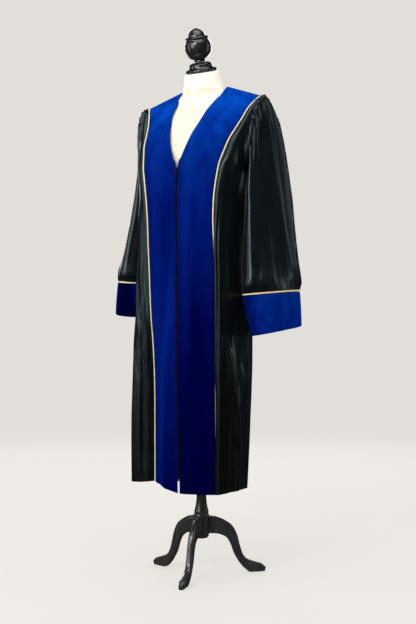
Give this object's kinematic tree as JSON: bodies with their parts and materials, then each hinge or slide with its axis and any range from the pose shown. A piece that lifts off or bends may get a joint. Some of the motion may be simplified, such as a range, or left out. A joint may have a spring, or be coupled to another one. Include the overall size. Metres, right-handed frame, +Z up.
{
  "type": "judicial robe on dress form stand",
  "caption": "Full-length black satin judicial robe with royal blue velvet fronts and cuffs, pale gold piping and a front zip, on a cream limbless dress form with a ball finial and a tripod stand.",
  "frame": {"origin": "On the floor, under the middle of the part's bounding box; the post's axis is 15.05 mm behind it in +Y.", "axes": "+Z up, -Y the way the robe's front faces, +X the wearer's left."},
  "size_m": [0.614, 0.363, 1.659],
  "materials": {
    "black satin": "smooth satin with a low sheen",
    "royal blue velvet": "cut pile velvet with a visible nap",
    "pale gold piping": "corded satin",
    "black zip tape": "woven tape and coil",
    "black zip slider": "black enamel",
    "cream jersey": "fine matte jersey stretched over a hard form",
    "black gloss lacquer": "high gloss lacquer on turned wood",
    "black satin lacquer": "satin black lacquer on turned and carved wood",
    "steel pole": "plain steel tube"
  },
  "bodies": {
    "tripod": {"post": "black satin lacquer", "leg_front": "black satin lacquer", "leg_left": "black satin lacquer", "leg_right": "black satin lacquer"},
    "pole": {"pole": "steel pole"},
    "robe_and_form": {"back": "black satin", "side_front_left": "black satin", "side_front_right": "black satin", "front_velvet_left": "royal blue velvet", "front_velvet_right": "royal blue velvet", "sleeve_left": "black satin", "sleeve_right": "black satin", "cuff_left": "royal blue velvet", "cuff_right": "royal blue velvet", "piping_front_left": "pale gold piping", "piping_front_right": "pale gold piping", "piping_cuff_left": "pale gold piping", "piping_cuff_right": "pale gold piping", "zip_tape_left": "black zip tape", "zip_tape_right": "black zip tape", "zip_chain": "black zip tape", "zip_slider": "black zip slider", "dress_form": "cream jersey", "neck_cap": "black gloss lacquer", "finial": "black gloss lacquer", "form_collar": "black satin lacquer"},
    "pull_tab": {"zip_pull_tab": "black zip slider"}
  },
  "joints": [
    {"name": "form_height", "type": "slide", "parent": "tripod", "child": "pole", "axis": [0, 0, 1], "range_m": [-0.08, 0.12]},
    {"name": "form_swivel", "type": "hinge", "parent": "pole", "child": "robe_and_form", "pos_m": [0, 0.01505, 0.79], "axis": [0, 0, 1], "continuous": true},
    {"name": "zip_pull_tab", "type": "hinge", "parent": "robe_and_form", "child": "pull_tab", "pos_m": [0, -0.1271, 1.223], "axis": [-1, 0, 0], "range_deg": [0, 150]}
  ]
}
